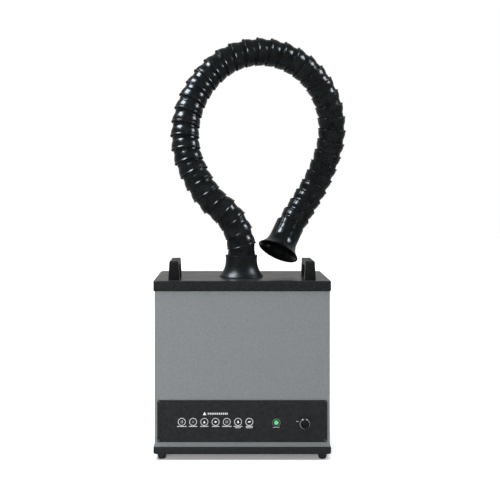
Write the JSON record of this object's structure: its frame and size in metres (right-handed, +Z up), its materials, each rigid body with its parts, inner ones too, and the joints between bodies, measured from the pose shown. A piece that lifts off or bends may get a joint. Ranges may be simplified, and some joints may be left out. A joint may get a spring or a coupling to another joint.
{
  "type": "solder fume extractor",
  "caption": "Free-standing fume extractor: a grey filter cabinet with a control panel, carrying handles and a black ball-jointed extraction arm with a flared hood.",
  "frame": {"origin": "on the floor under the middle of the cabinet", "axes": "+Z up, the control panel faces -Y, +X to the right seen from the front"},
  "size_m": [0.5005, 0.2948, 1.0527],
  "materials": {
    "grey_paint": "satin",
    "black_moulding": "matte",
    "foot_rubber": "matte",
    "seal_foam": "matte",
    "screw_steel": "satin",
    "panel_film": "matte",
    "switch_plastic": "satin",
    "green_lens": "gloss",
    "bright_steel": "satin",
    "knob_plastic": "gloss",
    "board_laminate": "satin",
    "filter_pad": "matte",
    "filter_paper": "matte",
    "filter_carbon": "matte",
    "duct_steel": "satin",
    "motor_alloy": "satin",
    "fan_plastic": "satin",
    "arm_plastic": "gloss"
  },
  "bodies": {
    "cabinet": {"base_tray": "black_moulding", "lid": "black_moulding", "handle_left": "black_moulding", "handle_right": "black_moulding", "rubber_feet": "foot_rubber", "body_shell": "grey_paint", "lid_seal": "seal_foam", "case_screws": "screw_steel", "control_panel": "panel_film", "power_switch": "switch_plastic", "potentiometer": "bright_steel", "control_board": "board_laminate", "mains_inlet": "switch_plastic", "pre_filter": "filter_pad", "hepa_filter": "filter_paper", "carbon_filter": "filter_carbon", "fan_deck": "duct_steel", "blower_housing": "duct_steel", "fan_motor": "motor_alloy", "arm_flange": "arm_plastic"},
    "arm_root": {"arm_root": "arm_plastic"},
    "arm_pair_1": {"arm_pair_1": "arm_plastic"},
    "arm_pair_2": {"arm_pair_2": "arm_plastic"},
    "arm_pair_3": {"arm_pair_3": "arm_plastic"},
    "arm_pair_4": {"arm_pair_4": "arm_plastic"},
    "arm_pair_5": {"arm_pair_5": "arm_plastic"},
    "arm_pair_6": {"arm_pair_6": "arm_plastic"},
    "arm_segment_13": {"arm_segment_13": "arm_plastic"},
    "arm_segment_14": {"arm_segment_14": "arm_plastic"},
    "arm_segment_15": {"arm_segment_15": "arm_plastic"},
    "arm_segment_16": {"arm_segment_16": "arm_plastic"},
    "arm_segment_17": {"arm_segment_17": "arm_plastic"},
    "arm_segment_18": {"arm_segment_18": "arm_plastic"},
    "arm_segment_19": {"arm_segment_19": "arm_plastic"},
    "arm_segment_20": {"arm_segment_20": "arm_plastic"},
    "arm_segment_21": {"arm_segment_21": "arm_plastic"},
    "arm_segment_22": {"arm_segment_22": "arm_plastic"},
    "arm_segment_23": {"arm_segment_23": "arm_plastic"},
    "arm_segment_24": {"arm_segment_24": "arm_plastic"},
    "arm_segment_25": {"arm_segment_25": "arm_plastic"},
    "arm_segment_26": {"arm_segment_26": "arm_plastic"},
    "arm_segment_27": {"arm_segment_27": "arm_plastic"},
    "arm_segment_28": {"arm_segment_28": "arm_plastic"},
    "arm_segment_29": {"arm_segment_29": "arm_plastic"},
    "arm_segment_30": {"arm_segment_30": "arm_plastic"},
    "arm_segment_31": {"arm_segment_31": "arm_plastic"},
    "arm_segment_32": {"arm_segment_32": "arm_plastic"},
    "arm_segment_33": {"arm_segment_33": "arm_plastic"},
    "arm_segment_34": {"arm_segment_34": "arm_plastic"},
    "arm_segment_35": {"arm_segment_35": "arm_plastic"},
    "arm_segment_36": {"arm_segment_36": "arm_plastic"},
    "arm_segment_37": {"arm_segment_37": "arm_plastic"},
    "arm_segment_38": {"arm_segment_38": "arm_plastic"},
    "arm_segment_39": {"arm_segment_39": "arm_plastic"},
    "hood": {"hood": "arm_plastic"},
    "knob": {"speed_knob": "knob_plastic", "speed_spindle": "bright_steel"},
    "button": {"power_button": "green_lens"},
    "fan": {"impeller": "fan_plastic", "motor_shaft": "bright_steel"}
  },
  "joints": [
    {"name": "arm_swivel", "type": "hinge", "parent": "cabinet", "child": "arm_root", "pos_m": [0, -0.01, 0.511], "axis": [0, 0, 1], "range_deg": [-6, 105]},
    {"name": "lower_bend", "type": "hinge", "parent": "arm_root", "child": "arm_pair_1", "pos_m": [0, -0.01, 0.511], "axis": [0, 1, 0], "range_deg": [-2.5, 0.5]},
    {"name": "lower_bend_3", "type": "hinge", "parent": "arm_pair_1", "child": "arm_pair_2", "pos_m": [-0.02156, -0.01, 0.57188], "axis": [0, 1, 0], "range_deg": [-2.5, 0.5]},
    {"name": "lower_bend_5", "type": "hinge", "parent": "arm_pair_2", "child": "arm_pair_3", "pos_m": [-0.06762, -0.01, 0.61714], "axis": [0, 1, 0], "range_deg": [-2.5, 0.5]},
    {"name": "lower_bend_7", "type": "hinge", "parent": "arm_pair_3", "child": "arm_pair_4", "pos_m": [-0.10653, -0.00643, 0.66877], "axis": [0, 1, 0], "range_deg": [-2.5, 0.5]},
    {"name": "lower_bend_9", "type": "hinge", "parent": "arm_pair_4", "child": "arm_pair_5", "pos_m": [-0.13447, 0.00189, 0.72681], "axis": [0, 1, 0], "range_deg": [-2.5, 0.5]},
    {"name": "lower_bend_11", "type": "hinge", "parent": "arm_pair_5", "child": "arm_pair_6", "pos_m": [-0.14504, 0.01138, 0.79001], "axis": [0, 1, 0], "range_deg": [-2.5, 0.5]},
    {"name": "middle_bend", "type": "hinge", "parent": "arm_pair_6", "child": "arm_segment_13", "pos_m": [-0.13667, 0.02088, 0.8536], "axis": [0, 1, 0], "range_deg": [-9, 0]},
    {"name": "middle_bend_14", "type": "hinge", "parent": "arm_segment_13", "child": "arm_segment_14", "pos_m": [-0.12605, 0.02562, 0.88395], "axis": [0, 1, 0], "range_deg": [-9, 0]},
    {"name": "middle_bend_15", "type": "hinge", "parent": "arm_segment_14", "child": "arm_segment_15", "pos_m": [-0.11145, 0.03037, 0.91259], "axis": [0, 1, 0], "range_deg": [-9, 0]},
    {"name": "middle_bend_16", "type": "hinge", "parent": "arm_segment_15", "child": "arm_segment_16", "pos_m": [-0.09315, 0.03512, 0.93903], "axis": [0, 1, 0], "range_deg": [-9, 0]},
    {"name": "middle_bend_17", "type": "hinge", "parent": "arm_segment_16", "child": "arm_segment_17", "pos_m": [-0.07147, 0.03987, 0.96277], "axis": [0, 1, 0], "range_deg": [-9, 0]},
    {"name": "middle_bend_18", "type": "hinge", "parent": "arm_segment_17", "child": "arm_segment_18", "pos_m": [-0.0468, 0.04461, 0.98339], "axis": [0, 1, 0], "range_deg": [-9, 0]},
    {"name": "middle_bend_19", "type": "hinge", "parent": "arm_segment_18", "child": "arm_segment_19", "pos_m": [-0.01882, 0.04936, 0.99922], "axis": [0, 1, 0], "range_deg": [-9, 0]},
    {"name": "middle_bend_20", "type": "hinge", "parent": "arm_segment_19", "child": "arm_segment_20", "pos_m": [0.01156, 0.05411, 1.00975], "axis": [0, 1, 0], "range_deg": [-9, 0]},
    {"name": "middle_bend_21", "type": "hinge", "parent": "arm_segment_20", "child": "arm_segment_21", "pos_m": [0.04334, 0.05886, 1.01461], "axis": [0, 1, 0], "range_deg": [-9, 0]},
    {"name": "upper_bend", "type": "hinge", "parent": "arm_segment_21", "child": "arm_segment_22", "pos_m": [0.07548, 0.06361, 1.01365], "axis": [0, 1, 0], "range_deg": [-9, 0]},
    {"name": "upper_bend_23", "type": "hinge", "parent": "arm_segment_22", "child": "arm_segment_23", "pos_m": [0.10692, 0.06835, 1.00692], "axis": [0, 1, 0], "range_deg": [-9, 0]},
    {"name": "upper_bend_24", "type": "hinge", "parent": "arm_segment_23", "child": "arm_segment_24", "pos_m": [0.13679, 0.0731, 0.99503], "axis": [0, 1, 0], "range_deg": [-9, 0]},
    {"name": "upper_bend_25", "type": "hinge", "parent": "arm_segment_24", "child": "arm_segment_25", "pos_m": [0.16426, 0.07785, 0.97832], "axis": [0, 1, 0], "range_deg": [-9, 0]},
    {"name": "upper_bend_26", "type": "hinge", "parent": "arm_segment_25", "child": "arm_segment_26", "pos_m": [0.18856, 0.0826, 0.95727], "axis": [0, 1, 0], "range_deg": [-9, 0]},
    {"name": "upper_bend_27", "type": "hinge", "parent": "arm_segment_26", "child": "arm_segment_27", "pos_m": [0.20902, 0.08734, 0.93246], "axis": [0, 1, 0], "range_deg": [-9, 0]},
    {"name": "upper_bend_28", "type": "hinge", "parent": "arm_segment_27", "child": "arm_segment_28", "pos_m": [0.22504, 0.09209, 0.90459], "axis": [0, 1, 0], "range_deg": [-9, 0]},
    {"name": "upper_bend_29", "type": "hinge", "parent": "arm_segment_28", "child": "arm_segment_29", "pos_m": [0.23667, 0.09684, 0.87462], "axis": [0, 1, 0], "range_deg": [-9, 0]},
    {"name": "upper_bend_30", "type": "hinge", "parent": "arm_segment_29", "child": "arm_segment_30", "pos_m": [0.24363, 0.10159, 0.84323], "axis": [0, 1, 0], "range_deg": [-9, 0]},
    {"name": "upper_bend_31", "type": "hinge", "parent": "arm_segment_30", "child": "arm_segment_31", "pos_m": [0.24576, 0.10633, 0.81115], "axis": [0, 1, 0], "range_deg": [-9, 0]},
    {"name": "upper_bend_32", "type": "hinge", "parent": "arm_segment_31", "child": "arm_segment_32", "pos_m": [0.24301, 0.11108, 0.77911], "axis": [0, 1, 0], "range_deg": [-9, 0]},
    {"name": "upper_bend_33", "type": "hinge", "parent": "arm_segment_32", "child": "arm_segment_33", "pos_m": [0.23545, 0.11583, 0.74786], "axis": [0, 1, 0], "range_deg": [-9, 0]},
    {"name": "upper_bend_34", "type": "hinge", "parent": "arm_segment_33", "child": "arm_segment_34", "pos_m": [0.22546, 0.12058, 0.7173], "axis": [0, 1, 0], "range_deg": [-9, 0]},
    {"name": "upper_bend_35", "type": "hinge", "parent": "arm_segment_34", "child": "arm_segment_35", "pos_m": [0.21299, 0.12217, 0.68733], "axis": [0, 1, 0], "range_deg": [-9, 0]},
    {"name": "upper_bend_36", "type": "hinge", "parent": "arm_segment_35", "child": "arm_segment_36", "pos_m": [0.1982, 0.12058, 0.65844], "axis": [0, 1, 0], "range_deg": [-9, 0]},
    {"name": "upper_bend_37", "type": "hinge", "parent": "arm_segment_36", "child": "arm_segment_37", "pos_m": [0.18135, 0.11583, 0.63105], "axis": [0, 1, 0], "range_deg": [-9, 0]},
    {"name": "upper_bend_38", "type": "hinge", "parent": "arm_segment_37", "child": "arm_segment_38", "pos_m": [0.16427, 0.10797, 0.60455], "axis": [0, 1, 0], "range_deg": [-9, 0]},
    {"name": "upper_bend_39", "type": "hinge", "parent": "arm_segment_38", "child": "arm_segment_39", "pos_m": [0.14715, 0.09707, 0.57916], "axis": [0, 1, 0], "range_deg": [-9, 0]},
    {"name": "hood_tilt", "type": "hinge", "parent": "arm_segment_39", "child": "hood", "pos_m": [0.1302, 0.08323, 0.55513], "axis": [0, 1, 0], "range_deg": [-5, 20]},
    {"name": "knob_turn", "type": "hinge", "parent": "cabinet", "child": "knob", "pos_m": [0.1505, -0.119, 0.0885], "axis": [0, -1, 0], "range_deg": [-140, 140]},
    {"name": "button_press", "type": "slide", "parent": "cabinet", "child": "button", "axis": [0, 1, 0], "range_m": [0, 0.0025], "stiffness_N_per_m": 500, "springref_m": -0.0008},
    {"name": "fan_spin", "type": "hinge", "parent": "cabinet", "child": "fan", "pos_m": [-0.058, -0.004, 0.12], "axis": [0, 0, 1], "continuous": true}
  ],
  "couplings": [
    {"joint": "lower_bend_3", "follows": "lower_bend", "ratio": 1},
    {"joint": "lower_bend_5", "follows": "lower_bend", "ratio": 1},
    {"joint": "lower_bend_7", "follows": "lower_bend", "ratio": 1},
    {"joint": "lower_bend_9", "follows": "lower_bend", "ratio": 1},
    {"joint": "lower_bend_11", "follows": "lower_bend", "ratio": 1},
    {"joint": "middle_bend_14", "follows": "middle_bend", "ratio": 1},
    {"joint": "middle_bend_15", "follows": "middle_bend", "ratio": 1},
    {"joint": "middle_bend_16", "follows": "middle_bend", "ratio": 1},
    {"joint": "middle_bend_17", "follows": "middle_bend", "ratio": 1},
    {"joint": "middle_bend_18", "follows": "middle_bend", "ratio": 1},
    {"joint": "middle_bend_19", "follows": "middle_bend", "ratio": 1},
    {"joint": "middle_bend_20", "follows": "middle_bend", "ratio": 1},
    {"joint": "middle_bend_21", "follows": "middle_bend", "ratio": 1},
    {"joint": "upper_bend_23", "follows": "upper_bend", "ratio": 1},
    {"joint": "upper_bend_24", "follows": "upper_bend", "ratio": 1},
    {"joint": "upper_bend_25", "follows": "upper_bend", "ratio": 1},
    {"joint": "upper_bend_26", "follows": "upper_bend", "ratio": 1},
    {"joint": "upper_bend_27", "follows": "upper_bend", "ratio": 1},
    {"joint": "upper_bend_28", "follows": "upper_bend", "ratio": 1},
    {"joint": "upper_bend_29", "follows": "upper_bend", "ratio": 1},
    {"joint": "upper_bend_30", "follows": "upper_bend", "ratio": 1},
    {"joint": "upper_bend_31", "follows": "upper_bend", "ratio": 1},
    {"joint": "upper_bend_32", "follows": "upper_bend", "ratio": 1},
    {"joint": "upper_bend_33", "follows": "upper_bend", "ratio": 1},
    {"joint": "upper_bend_34", "follows": "upper_bend", "ratio": 1},
    {"joint": "upper_bend_35", "follows": "upper_bend", "ratio": 1},
    {"joint": "upper_bend_36", "follows": "upper_bend", "ratio": 1},
    {"joint": "upper_bend_37", "follows": "upper_bend", "ratio": 1},
    {"joint": "upper_bend_38", "follows": "upper_bend", "ratio": 1},
    {"joint": "upper_bend_39", "follows": "upper_bend", "ratio": 1}
  ]
}
